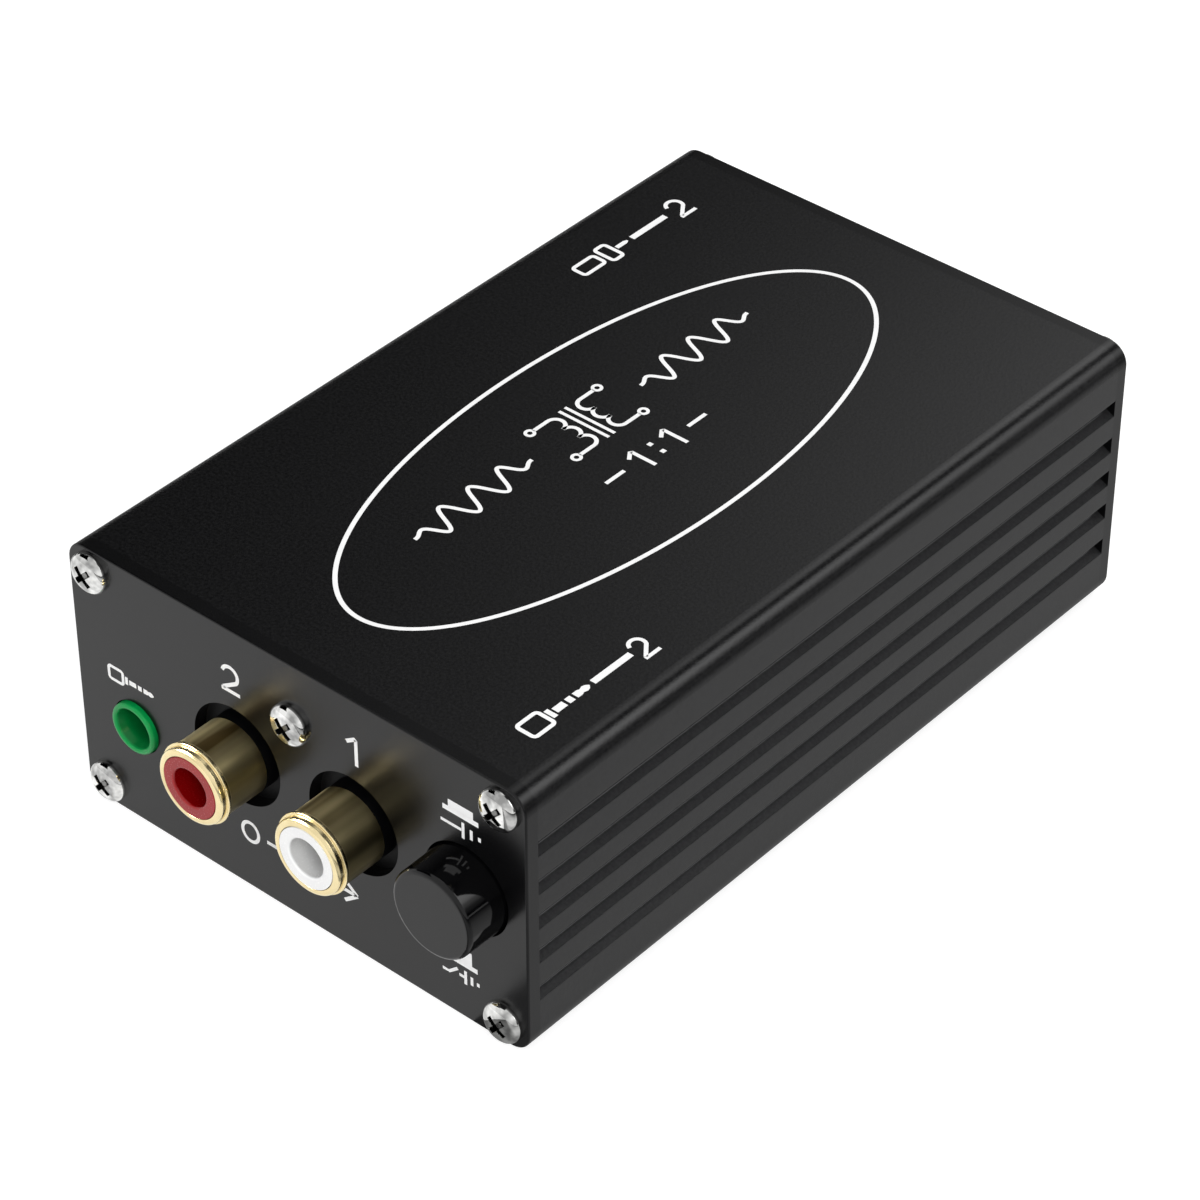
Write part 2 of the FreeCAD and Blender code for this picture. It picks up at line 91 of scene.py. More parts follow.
print("stage: studio")
studio = {
    "backdrop": 1.0,            # what the camera and reflections see of the surroundings
    "fill": 0.55,               # how strongly the surroundings light the object
    "floor": {"colour": 0.50, "glow": 0.70, "half": 3000.0, "height": -0.05},
    "aim": (0.0, 0.0, 15.0),    # what the lights face
    "keyLight": {"place": (620, -520, 550), "size": 450, "power": 5.0},
    "leftLight": {"place": (-520, -640, 380), "size": 400, "power": 1.6},
    "backLight": {"place": (60, 820, 420), "size": 520, "power": 3.0},
    "skyCard": {                # what the roof reflects: (place across, brightness nearer, farther) stops
        "z": 150.0, "y": (-10.0, 63.0, 179.0, 1600.0),
        "stops": ((-2500, 0.0, 0.0), (-900, 0.0, 0.02), (-160, 0.06, 0.10), (-133, 0.07, 0.20),
                  (-106, 0.13, 0.38), (-79, 0.24, 0.72), (-55, 0.33, 1.05), (-35, 0.50, 1.5),
                  (-8, 1.2, 2.7), (16, 1.35, 2.6), (34, 0.6, 1.3), (46, 0.0, 0.1), (62, 0.0, 0.0),
                  (80, 0.1, 0.0), (100, 2.4, 1.3), (138, 3.9, 2.4), (190, 3.5, 2.1),
                  (258, 1.6, 1.1), (430, 0.3, 0.3), (900, 0.0, 0.0), (2500, 0.0, 0.0)),
    },
    "barrelCard": {             # bright card above and before the front plate, for the gold barrels alone
        "z": 150.0, "y": (-170.0, -150.0, -30.0, -12.0),
        "stops": ((-330, 0.0, 0.0), (-290, 24.0, 24.0), (-120, 24.0, 24.0), (-70, 0.0, 0.0)),
    },
    "leftFootCard": {           # what the left-hand side and its rounded edge reflect
        "z": -0.03, "y": (-40.0, 0.0, 200.0, 1600.0),
        "stops": ((-2500, 0.03, 0.03), (-300, 0.06, 0.06), (-154, 0.25, 0.25), (-96, 0.45, 0.45),
                  (-76, 0.6, 0.6), (-56, 0.66, 0.66), (-29.5, 0.66, 0.66), (-27, 0.3, 0.3),
                  (-21, 0.2, 0.2)),
    },
    "footCard": {               # what the right-hand side reflects, just above the floor
        "z": -0.03, "y": (-1500.0, 0.0, 200.0, 1600.0),
        "stops": ((21, 0.2, 0.2), (27, 0.3, 0.3), (29.5, 0.66, 0.66), (56, 0.66, 0.66), (76, 0.6, 0.6),
                  (96, 0.45, 0.45), (154, 0.25, 0.25), (300, 0.06, 0.06), (2500, 0.03, 0.03)),
    },
}


def linkNodes(tree, source, target):
    # wire from an output to an input
    tree.links.new(source, target)


def seenDirectly(tree):
    # 1 for rays from the camera, off a glossy face or through a clear one, else 0
    paths = tree.nodes.new("ShaderNodeLightPath")
    most = None
    for name in ("Is Camera Ray", "Is Glossy Ray", "Is Transmission Ray"):
        if most is None:
            most = paths.outputs[name]
            continue
        larger = tree.nodes.new("ShaderNodeMath")
        larger.operation = "MAXIMUM"
        linkNodes(tree, most, larger.inputs[0])
        linkNodes(tree, paths.outputs[name], larger.inputs[1])
        most = larger.outputs[0]
    return most


def makeSurroundings(setup):
    # white where seen directly, a gentler white where it lights the object
    world = bpy.data.worlds.new("surroundings")
    world.use_nodes = True
    scene.world = world
    tree = world.node_tree
    seen = seenDirectly(tree)
    strength = tree.nodes.new("ShaderNodeMapRange")
    strength.inputs["To Min"].default_value = setup["fill"]
    strength.inputs["To Max"].default_value = setup["backdrop"]
    linkNodes(tree, seen, strength.inputs["Value"])
    back = tree.nodes["Background"]
    back.inputs["Color"].default_value = (1, 1, 1, 1)
    linkNodes(tree, strength.outputs["Result"], back.inputs["Strength"])


def makeQuad(name, corners, material):
    # one flat sheet between four corners
    data = bpy.data.meshes.new(name)
    data.from_pydata([Vector(c) * mm for c in corners], [], [(0, 1, 2, 3)])
    data.materials.append(material)
    card = bpy.data.objects.new(name, data)
    scene.collection.objects.link(card)
    return card


def makeFloor(setup):
    # pale floor: what light falls on it plus a glow where it is seen directly
    material = bpy.data.materials.new("paleFloor")
    material.use_nodes = True
    tree = material.node_tree
    shader = tree.nodes["Principled BSDF"]
    shade = setup["colour"]
    shader.inputs["Base Color"].default_value = (shade, shade, shade, 1)
    shader.inputs["Roughness"].default_value = 1.0
    shader.inputs["Specular IOR Level"].default_value = 0.0
    shader.inputs["Emission Color"].default_value = (1, 1, 1, 1)
    glow = tree.nodes.new("ShaderNodeMath")
    glow.operation = "MULTIPLY"
    glow.inputs[1].default_value = setup["glow"]
    linkNodes(tree, seenDirectly(tree), glow.inputs[0])
    linkNodes(tree, glow.outputs[0], shader.inputs["Emission Strength"])
    h, z = setup["half"], setup["height"]
    makeQuad("floor", [(-h, -h, z), (h, -h, z), (h, h, z), (-h, h, z)], material)


def makeLight(name, setup):
    # square soft light that faces the middle of the object; reflections don't show it
    data = bpy.data.lights.new(name, "AREA")
    data.shape = "SQUARE"
    data.size = setup["size"] * mm
    data.energy = setup["power"]
    light = bpy.data.objects.new(name, data)
    light.location = Vector(setup["place"]) * mm
    away = light.location - Vector(studio["aim"]) * mm
    light.rotation_euler = away.to_track_quat("Z", "Y").to_euler()
    light.visible_glossy = False
    scene.collection.objects.link(light)


def makeGlowCard(name, setup):
    # level card that only reflections see: across the case its glow runs through the stops, and along the
    # case from each stop's nearer brightness to its farther one
    stops = np.array(setup["stops"], float)
    material = bpy.data.materials.new(name)
    material.use_nodes = True
    tree = material.node_tree
    shader = tree.nodes["Principled BSDF"]
    shader.inputs["Base Color"].default_value = (0, 0, 0, 1)
    shader.inputs["Specular IOR Level"].default_value = 0.0
    shader.inputs["Emission Color"].default_value = (1, 1, 1, 1)
    glow = tree.nodes.new("ShaderNodeAttribute")
    glow.attribute_name = "glow"
    linkNodes(tree, glow.outputs["Fac"], shader.inputs["Emission Strength"])
    rows = len(setup["y"])
    points = [(x, y, setup["z"]) for x in stops[:, 0] for y in setup["y"]]
    corners = [rows * k + j for k in range(len(stops) - 1) for j in range(rows - 1)]
    faces = [(c, c + 1, c + rows + 1, c + rows) for c in corners]
    data = bpy.data.meshes.new(name)
    data.from_pydata([Vector(p) * mm for p in points], [], faces)
    brightness = data.attributes.new("glow", "FLOAT", "POINT")
    brightness.data.foreach_set("value", stops[:, [1, 1, 2, 2]].ravel())
    data.materials.append(material)
    card = bpy.data.objects.new(name, data)
    scene.collection.objects.link(card)
    card.visible_camera = False
    card.visible_diffuse = False
    card.visible_shadow = False
    card.visible_transmission = False
    return card


makeSurroundings(studio)
makeFloor(studio["floor"])
makeLight("keyLight", studio["keyLight"])
makeLight("leftLight", studio["leftLight"])
makeLight("backLight", studio["backLight"])
makeGlowCard("skyCard", studio["skyCard"])
makeGlowCard("footCard", studio["footCard"])
makeGlowCard("leftFootCard", studio["leftFootCard"])
barrelCard = makeGlowCard("barrelCard", studio["barrelCard"])
barrelCard.light_linking.receiver_collection = bpy.data.collections.new("barrels")


print("stage: finishes")


def paint(red, green, blue):
    # screen colour, 0 to 255, to the linear colour that a shader takes
    screen = np.array([red, green, blue]) / 255
    linear = np.where(screen <= 0.04045, screen / 12.92, ((screen + 0.055) / 1.055) ** 2.4)
    return (*linear.tolist(), 1.0)


def startFinish(name, metallic=0.0, specular=0.5):
    # new material at the given metal and specular levels
    material = bpy.data.materials.new(name)
    material.use_nodes = True
    tree = material.node_tree
    shader = tree.nodes["Principled BSDF"]
    shader.inputs["Metallic"].default_value = metallic
    shader.inputs["Specular IOR Level"].default_value = specular
    return material, tree, shader


def objectPlace(tree, stretch=(1, 1, 1)):
    # place on the object in metres, stretched along each axis
    coordinates = tree.nodes.new("ShaderNodeTexCoord")
    mapping = tree.nodes.new("ShaderNodeMapping")
    mapping.inputs["Scale"].default_value = stretch
    linkNodes(tree, coordinates.outputs["Object"], mapping.inputs["Vector"])
    return mapping.outputs["Vector"]


def cloud(tree, place, size, detail=2.0):
    # noise whose blobs are about size millimetres across
    noise = tree.nodes.new("ShaderNodeTexNoise")
    noise.inputs["Scale"].default_value = 1 / (size * mm)
    noise.inputs["Detail"].default_value = detail
    linkNodes(tree, place, noise.inputs["Vector"])
    return noise.outputs["Fac"]


def between(tree, value, dark, light, low=0.35, high=0.65):
    # colour from dark to light as the value goes from low to high
    ramp = tree.nodes.new("ShaderNodeValToRGB")
    ramp.color_ramp.elements[0].position = low
    ramp.color_ramp.elements[0].color = dark
    ramp.color_ramp.elements[1].position = high
    ramp.color_ramp.elements[1].color = light
    linkNodes(tree, value, ramp.inputs["Fac"])
    return ramp.outputs["Color"]


def fromTo(tree, value, low, high, start=0.35, end=0.65):
    # number from low to high as the value goes from start to end
    span = tree.nodes.new("ShaderNodeMapRange")
    span.inputs["From Min"].default_value = start
    span.inputs["From Max"].default_value = end
    span.inputs["To Min"].default_value = low
    span.inputs["To Max"].default_value = high
    linkNodes(tree, value, span.inputs["Value"])
    return span.outputs["Result"]


def addBump(tree, shader, value, height):
    # bump of the given height in millimetres
    bump = tree.nodes.new("ShaderNodeBump")
    bump.inputs["Distance"].default_value = height * mm
    bump.inputs["Strength"].default_value = 1.0
    linkNodes(tree, value, bump.inputs["Height"])
    linkNodes(tree, bump.outputs["Normal"], shader.inputs["Normal"])


def mixColours(tree, amount, first, second):
    # first colour where the amount is 0, second where it is 1, evenly between
    mix = tree.nodes.new("ShaderNodeMix")
    mix.data_type = "RGBA"
    linkNodes(tree, amount, mix.inputs["Factor"])
    linkNodes(tree, first, mix.inputs["A"])
    linkNodes(tree, second, mix.inputs["B"])
    return mix.outputs["Result"]


def lineDistance(tree, x, z):
    # metres from the lengthwise line at the given height, to the right or left of the middle
    size, away = (tree.nodes.new("ShaderNodeVectorMath") for step in range(2))
    size.operation, away.operation = "ABSOLUTE", "DISTANCE"
    away.inputs[1].default_value = (x * mm, 0, z * mm)
    linkNodes(tree, objectPlace(tree, (1, 0, 1)), size.inputs[0])
    linkNodes(tree, size.outputs["Vector"], away.inputs[0])
    return away.outputs["Value"]


def paintedLightGrooveShare(tree, finish):
    # 1 in the grooves of the sides, 0 on the ribs and everywhere above and below them; it marks where
    # painted light makes the grooves paler
    split = tree.nodes.new("ShaderNodeSeparateXYZ")
    linkNodes(tree, objectPlace(tree), split.inputs["Vector"])
    side, middle = finish["grooveSide"], finish["grooveMiddle"] * mm
    reach, edge, blur = finish["grooveReach"], finish["grooveEdge"], finish["grooveBlur"]
    away = {}
    for axis, centre in (("X", 0.0), ("Z", middle)):
        step = tree.nodes.new("ShaderNodeMath")
        step.operation = "SUBTRACT"
        step.inputs[1].default_value = centre
        linkNodes(tree, split.outputs[axis], step.inputs[0])
        size = tree.nodes.new("ShaderNodeMath")
        size.operation = "ABSOLUTE"
        linkNodes(tree, step.outputs[0], size.inputs[0])
        away[axis] = size.outputs[0]
    inside = fromTo(tree, away["X"], 1.0, 0.0, (side - blur) * mm, (side - edge) * mm)
    level = fromTo(tree, away["Z"], 1.0, 0.0, reach * mm, (reach + blur) * mm)
    both = tree.nodes.new("ShaderNodeMath")
    both.operation = "MULTIPLY"
    linkNodes(tree, inside, both.inputs[0])
    linkNodes(tree, level, both.inputs[1])
    return both.outputs[0]


def anodisedFinish(name, finish):
    # blasted, dyed metal: fine grain in height and colour, slow drift in gloss, and grooves painted paler
    # as painted light
    material, tree, shader = startFinish(name, specular=finish["specular"])
    place = objectPlace(tree)
    grain = cloud(tree, place, finish["grain"], 3.0)
    drift = cloud(tree, objectPlace(tree, finish["draw"]), finish["drift"], 2.0)
    colour = between(tree, grain, finish["dark"], finish["light"])
    # painted light: the side grooves take a paler colour than the ribs
    if "grooveSide" in finish:
        deep = between(tree, grain, finish["grooveDark"], finish["grooveLight"])
        colour = mixColours(tree, paintedLightGrooveShare(tree, finish), colour, deep)
    linkNodes(tree, colour, shader.inputs["Base Color"])
    linkNodes(tree, fromTo(tree, drift, *finish["rough"]), shader.inputs["Roughness"])
    addBump(tree, shader, grain, finish["height"])
    return material


def metalFinish(name, finish):
    # bare or plated metal: streaks along the way it was drawn or turned, in colour and gloss; on the screw
    # nickel their wide colour spread is painted reflection
    material, tree, shader = startFinish(name, metallic=1.0)
    streaks = cloud(tree, objectPlace(tree, finish["draw"]), finish["streak"], 2.0)
    linkNodes(tree, between(tree, streaks, finish["dark"], finish["light"]), shader.inputs["Base Color"])
    linkNodes(tree, fromTo(tree, streaks, *finish["rough"]), shader.inputs["Roughness"])
    addBump(tree, shader, streaks, finish["height"])
    return material


def platedFinish(name, finish):
    # gold plate: drawn, duller body and a polished lip at the mouth, told apart by distance along the case;
    # the body's darker colour with light and dark lengthwise streaks is painted reflection
    material, tree, shader = startFinish(name, metallic=1.0)
    streaks = cloud(tree, objectPlace(tree, finish["draw"]), finish["streak"], 2.0)
    split = tree.nodes.new("ShaderNodeSeparateXYZ")
    linkNodes(tree, objectPlace(tree), split.inputs["Vector"])
    away = tree.nodes.new("ShaderNodeMath")
    away.operation = "ABSOLUTE"
    linkNodes(tree, split.outputs["Y"], away.inputs[0])
    start, end = (d * mm for d in finish["lipFrom"])
    lip = fromTo(tree, away.outputs[0], 0.0, 1.0, start, end)
    # painted reflection: the barrel body's colour runs from dark to light in streaks along it
    body = between(tree, streaks, finish["bodyDark"], finish["bodyLight"])
    edge = between(tree, streaks, finish["lipDark"], finish["lipLight"])
    linkNodes(tree, mixColours(tree, lip, body, edge), shader.inputs["Base Color"])
    gloss = tree.nodes.new("ShaderNodeMapRange")
    gloss.inputs["To Min"].default_value = finish["bodyRough"]
    gloss.inputs["To Max"].default_value = finish["lipRough"]
    linkNodes(tree, lip, gloss.inputs["Value"])
    linkNodes(tree, gloss.outputs["Result"], shader.inputs["Roughness"])
    addBump(tree, shader, streaks, finish["height"])
    return material


def plasticFinish(name, finish):
    # moulded plastic: slight cloud in colour and gloss, faint orange peel, and painted shade within its
    # bore: a darker
    #  colour inside the bore, given as place across, height, radius and softness of the edge
    material, tree, shader = startFinish(name, specular=finish["specular"])
    place = objectPlace(tree)
    slow = cloud(tree, place, finish["cloud"], 2.0)
    fine = cloud(tree, place, finish["peel"], 2.0)
    colour = between(tree, slow, finish["dark"], finish["light"])
    # painted shade: a darker colour within the bore
    if "bore" in finish:
        x, z, radius, blur = finish["bore"]
        away = lineDistance(tree, x, z)
        inside = fromTo(tree, away, 1.0, 0.0, (radius - blur) * mm, (radius + blur) * mm)
        deep = between(tree, slow, finish["boreDark"], finish["boreLight"])
        colour = mixColours(tree, inside, colour, deep)
    linkNodes(tree, colour, shader.inputs["Base Color"])
    linkNodes(tree, fromTo(tree, fine, *finish["rough"]), shader.inputs["Roughness"])
    addBump(tree, shader, fine, finish["height"])
    return material


waveSpan = 0.314                # length of one band of the wave texture at a scale of 1


def bandedFinish(name, finish):
    # stacked sheets or wound layers: even bands along one axis, broken up by a little noise
    material, tree, shader = startFinish(name, metallic=finish["metallic"])
    wave = tree.nodes.new("ShaderNodeTexWave")
    wave.bands_direction = finish["axis"]
    wave.inputs["Scale"].default_value = waveSpan / (finish["pitch"] * mm)
    wave.inputs["Distortion"].default_value = finish["waver"]
    wave.inputs["Detail Scale"].default_value = 1.0
    linkNodes(tree, objectPlace(tree), wave.inputs["Vector"])
    bands = wave.outputs["Fac"]
    shade = between(tree, bands, finish["dark"], finish["light"], low=0.2, high=0.8)
    linkNodes(tree, shade, shader.inputs["Base Color"])
    linkNodes(tree, fromTo(tree, bands, *finish["rough"], start=0.0, end=1.0), shader.inputs["Roughness"])
    addBump(tree, shader, bands, finish["height"])
    return material


finishes = {
    "case_anodised": (anodisedFinish, {
        "dark": paint(1, 1, 2), "light": paint(17, 17, 18), "grain": 0.3, "height": 0.012,
        "specular": 0.34, "drift": 9.0, "draw": (1, 0.2, 1), "rough": (0.23, 0.27),
        # the groove colours are painted light, paler than the ribs
        "grooveDark": paint(36, 36, 37), "grooveLight": paint(44, 44, 45),
        "grooveSide": 27.8, "grooveMiddle": 15.0, "grooveReach": 12.0,
        "grooveEdge": 0.02, "grooveBlur": 0.1}),
    "panel_anodised": (anodisedFinish, {
        "dark": paint(4, 4, 5), "light": paint(9, 9, 10), "grain": 0.12, "height": 0.002,
        "specular": 0.28, "drift": 6.0, "draw": (1, 1, 1), "rough": (0.23, 0.27)}),
    # screw nickel: the wide spread from dark to light is painted reflection
    "screw_nickel": (metalFinish, {
        "dark": paint(150, 150, 149), "light": paint(236, 236, 234), "streak": 1.3, "draw": (1, 1, 1),
        "rough": (0.05, 0.08), "height": 0.0}),
    # painted shade: recess_dark darkens the screws' cross recesses, recess_floor is a lighter painted shade
    # on the middle pit's floor
    "recess_floor": (metalFinish, {
        "dark": paint(104, 104, 103), "light": paint(140, 140, 138), "streak": 0.2, "draw": (1, 1, 1),
        "rough": (0.26, 0.36), "height": 0.002}),
    "recess_dark": (metalFinish, {
        "dark": paint(34, 34, 34), "light": paint(56, 56, 55), "streak": 0.2, "draw": (1, 1, 1),
        "rough": (0.3, 0.42), "height": 0.002}),
    # the gold body colours are painted reflection; the lip colours are the plating's own
    "socket_gold": (platedFinish, {
        "bodyDark": paint(70, 58, 33), "bodyLight": paint(198, 184, 138), "bodyRough": 0.38,
        "lipDark": paint(226, 208, 160), "lipLight": paint(238, 221, 174), "lipRough": 0.2,
        "lipFrom": (48.35, 48.55), "streak": 2.6, "draw": (1, 0.04, 1), "height": 0.0}),
    "contact_brass": (metalFinish, {
        "dark": paint(172, 138, 78), "light": paint(205, 172, 108), "streak": 0.3, "draw": (1, 0.1, 1),
        "rough": (0.22, 0.34), "height": 0.003}),
    "tinned": (metalFinish, {
        "dark": paint(168, 170, 172), "light": paint(206, 208, 210), "streak": 0.3, "draw": (1, 1, 0.2),
        "rough": (0.28, 0.45), "height": 0.004}),
    "spring_steel": (metalFinish, {
        "dark": paint(132, 134, 138), "light": paint(186, 188, 192), "streak": 0.2, "draw": (1, 1, 1),
        "rough": (0.18, 0.3), "height": 0.002}),
    "core_steel": (bandedFinish, {
        "metallic": 1.0, "axis": "Y", "pitch": 0.35, "waver": 0.4, "dark": paint(66, 68, 72),
        "light": paint(128, 130, 134), "rough": (0.32, 0.5), "height": 0.03}),
    # the bore colours below are painted shade within the sockets' bores
    "red_plastic": (plasticFinish, {
        "dark": paint(150, 12, 16), "light": paint(158, 15, 19), "cloud": 2.5, "peel": 0.2,
        "specular": 0.4, "rough": (0.22, 0.28), "height": 0.002,
        "bore": (7.2, 15.5, 2.05, 0.05), "boreDark": paint(120, 2, 4), "boreLight": paint(128, 3, 6)}),
    "white_plastic": (plasticFinish, {
        "dark": paint(249, 249, 249), "light": paint(253, 253, 252), "cloud": 2.5, "peel": 0.2,
        "specular": 0.5, "rough": (0.22, 0.28), "height": 0.002,
        "bore": (7.2, 15.5, 2.05, 0.05),
        "boreDark": paint(206, 206, 206), "boreLight": paint(212, 212, 211)}),
    "green_plastic": (plasticFinish, {
        "dark": paint(0, 140, 66), "light": paint(4, 150, 74), "cloud": 2.0, "peel": 0.2,
        "specular": 0.28, "rough": (0.28, 0.34), "height": 0.001,
        "bore": (20.5, 11.5, 2.15, 0.05), "boreDark": paint(0, 96, 42), "boreLight": paint(2, 104, 48)}),
    "black_plastic": (plasticFinish, {
        "dark": paint(2, 2, 3), "light": paint(5, 5, 6), "cloud": 1.5, "peel": 0.12,
        "specular": 0.12, "rough": (0.45, 0.55), "height": 0.008}),
    "button_black": (plasticFinish, {
        "dark": paint(4, 4, 5), "light": paint(7, 7, 8), "cloud": 3.0, "peel": 1.2,
        "specular": 0.29, "rough": (0.05, 0.08), "height": 0.001}),
    "bobbin_plastic": (plasticFinish, {
        "dark": paint(34, 35, 38), "light": paint(48, 49, 52), "cloud": 1.5, "peel": 0.15,
        "specular": 0.5, "rough": (0.42, 0.55), "height": 0.006}),
    "winding_tape": (bandedFinish, {
        "metallic": 0.0, "axis": "Z", "pitch": 1.1, "waver": 0.6, "dark": paint(206, 158, 48),
        "light": paint(232, 190, 84), "rough": (0.22, 0.34), "height": 0.03}),
    "board": (plasticFinish, {
        "dark": paint(18, 82, 44), "light": paint(26, 100, 54), "cloud": 1.2, "peel": 0.3,
        "specular": 0.5, "rough": (0.3, 0.42), "height": 0.006}),
}
finishOfSlot = {slot: make(slot + "_finish", finish) for slot, (make, finish) in finishes.items()}
for name, node in nodes.items():
    node.data.materials.clear()
    node.data.materials.append(finishOfSlot[slotOfNode[name]])
printInk = plasticFinish("print_ink", {
    "dark": paint(246, 246, 246), "light": paint(252, 252, 252), "cloud": 1.0, "peel": 0.1,
    "specular": 0.5, "rough": (0.5, 0.6), "height": 0.001})


print("stage: helpers for new surfaces")


def gridFaces(rows, columns, closedRows, closedColumns):
    # a quad between each point of a rows x columns grid and its next ones
    i = np.arange(rows - (not closedRows))[:, None]
    j = np.arange(columns - (not closedColumns))[None, :]
    i, j = (grid.ravel() for grid in np.broadcast_arrays(i, j))
    nextI, nextJ = (i + 1) % rows, (j + 1) % columns
    return np.stack([i * columns + j, i * columns + nextJ, nextI * columns + nextJ, nextI * columns + j], 1)


def joinShells(shells):
    # points, faces and kinds of several surfaces as one list, each face's numbers counted on past the
    # points before it
    points, faces, kinds, first = [], [], [], 0
    for shell in shells:
        points.append(shell[0])
        faces += [[first + int(k) for k in face] for face in shell[1]]
        kinds.append(shell[2] if len(shell) > 2 else np.zeros(len(shell[1]), int))
        first += len(shell[0])
    return np.concatenate(points), faces, np.concatenate(kinds)


sameWithin, thinnest = 1e-8, 1e-9       # metres: points taken as one, and the smallest edge kept


def makePiece(name, shells, finish, body, smoothAngle=None):
    # one object from surfaces in millimetres: doubles merged, faces turned outwards, finish by kind, and
    # riding on the body, if one is given
    points, faces, kinds = joinShells(shells)
    data = bpy.data.meshes.new(name)
    data.from_pydata((points * mm).tolist(), [], faces)
    for material in finish:
        data.materials.append(material)
    data.polygons.foreach_set("material_index", kinds)
    tidy = bmesh.new()
    tidy.from_mesh(data)
    bmesh.ops.remove_doubles(tidy, verts=tidy.verts, dist=sameWithin)
    bmesh.ops.dissolve_degenerate(tidy, edges=tidy.edges, dist=thinnest)
    bmesh.ops.recalc_face_normals(tidy, faces=tidy.faces)
    tidy.to_mesh(data)
    tidy.free()
    if smoothAngle:
        data.shade_smooth()
        data.set_sharp_from_angle(angle=math.radians(smoothAngle))
    piece = bpy.data.objects.new(name, data)
    scene.collection.objects.link(piece)
    if body:
        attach(piece, body)
    return piece


def smoothStep(value):
    # 0 below 0, 1 above 1, 3v^2 - 2v^3 between
    v = np.clip(value, 0, 1)
    return v * v * (3 - 2 * v)


print("stage: screws")
screwSize = {
    "headRadius": 2.15, "headHeight": 1.2, "skirt": 0.18, "crown": 2.35, "flat": 1.7, "gap": 0.02,
    "arm": 1.12, "armHalf": 0.26, "depth": 0.8, "wall": 0.05, "centre": 0.4, "rise": 0.5, "dark": 0.12,
    "crest": 1.3, "valley": 1.08, "flank": (1.6, 0.6), "pitch": 0.9, "start": 0.05, "length": 8.0,
    "point": 1.5, "tip": 0.12,
    "around": 144, "headRows": 54, "leanRows": 18, "shankRows": 60, "mostly": 0.9, "smooth": 40,
    "corner": (24.9, 12.45), "middle": 15.0, "jackHeight": 23.15, "plate": 43.7,
}
screwTurns = {"lowLeft": 47, "lowRight": 51, "highLeft": 43, "highRight": 46, "jack": 44}    # degrees
rearTurn = 47                   # more on each rear screw


def headHeightAt(radius, size):
    # pan head: upright skirt, then skirt + (height - skirt) * (1 - (r / R)^p)^(1 / p)
    share = np.clip(1 - (radius / size["headRadius"]) ** size["crown"], 0, 1) ** (1 / size["crown"])
    return size["skirt"] + (size["headHeight"] - size["skirt"]) * share


def crossDepthAt(u, v, size):
    # two crossed slots with a round pit in the middle, whose floor is higher than the slots' by a share
    def arm(along, across):
        # 1 inside a slot, 0 outside, with a soft wall
        within = smoothStep((size["armHalf"] - np.abs(across)) / size["wall"] + 0.5)
        before = smoothStep((size["arm"] - np.abs(along)) / size["wall"] + 0.5)
        return within * before
    inside = smoothStep((size["centre"] - np.hypot(u, v)) / size["wall"] + 0.5)
    slots = np.maximum.reduce([arm(u, v), arm(v, u), inside])
    return size["depth"] * slots * (1 - size["rise"] * inside)


def screwShell(size, turn):
    # turned surface: over the head, under it, along a wound thread and round a point; outwards is -y
    around = np.arange(size["around"]) / size["around"] * 2 * np.pi
    lean = np.linspace(0, np.pi / 2, size["leanRows"])[1:]
    flat = size["flat"]
    radii = np.concatenate([np.linspace(0, flat, size["headRows"]),
                            flat + (size["headRadius"] - flat) * np.sin(lean)])
    r, a = np.meshgrid(radii, around, indexing="ij")
    t = math.radians(turn)
    u, v = r * np.cos(a - t), r * np.sin(a - t)
    y = -headHeightAt(r, size) + crossDepthAt(u, v, size)
    ringR = np.array([size["headRadius"] - size["gap"], size["crest"] + size["gap"]])
    r = np.concatenate([r, np.repeat(ringR[:, None], len(around), 1)])
    y = np.concatenate([y, np.zeros((2, len(around)))])
    shaft = np.linspace(size["start"], size["length"], size["shankRows"])
    turns = shaft[:, None] / size["pitch"] - around[None, :] / (2 * np.pi)
    ridge = np.abs((turns % 1) - 0.5) * 2
    steep, cut = size["flank"]
    taper = np.clip((size["length"] - shaft) / size["point"], size["tip"], 1)[:, None]
    ridge = np.clip(ridge * steep - cut, 0, 1)
    thread = (size["valley"] + (size["crest"] - size["valley"]) * ridge) * taper
    r = np.concatenate([r, thread, np.zeros((1, len(around)))])
    shaftY = np.repeat(shaft[:, None], len(around), 1)
    y = np.concatenate([y, shaftY, np.full((1, len(around)), size["length"])])
    a = np.repeat(around[None, :], len(r), 0)
    points = np.stack([r * np.cos(a), y, r * np.sin(a)], 2).reshape(-1, 3)
    faces = gridFaces(len(r), len(around), False, True)
    # faces sunk deeper than the dark share take recess_dark, painted shade in the cross recess; those in
    # the middle pit take recess_floor, a lighter painted shade
    sunk, middle = np.zeros(r.shape), np.zeros(r.shape)
    sunk[:len(radii)] = crossDepthAt(u, v, size)
    middle[:len(radii)] = np.hypot(u, v) < size["centre"]
    inMiddle = middle.ravel()[faces].mean(1) > size["mostly"]
    return points, faces, (sunk.ravel()[faces].mean(1) > size["dark"]) * np.where(inMiddle, 2, 1)


def atEnd(points, x, z, end, size):
    # set at x, z on the front plate, or turned half round the upright axis for the rear plate
    placed = points + np.array([x, -size["plate"], z])
    return placed if end == "front" else placed * np.array([-1, -1, 1])


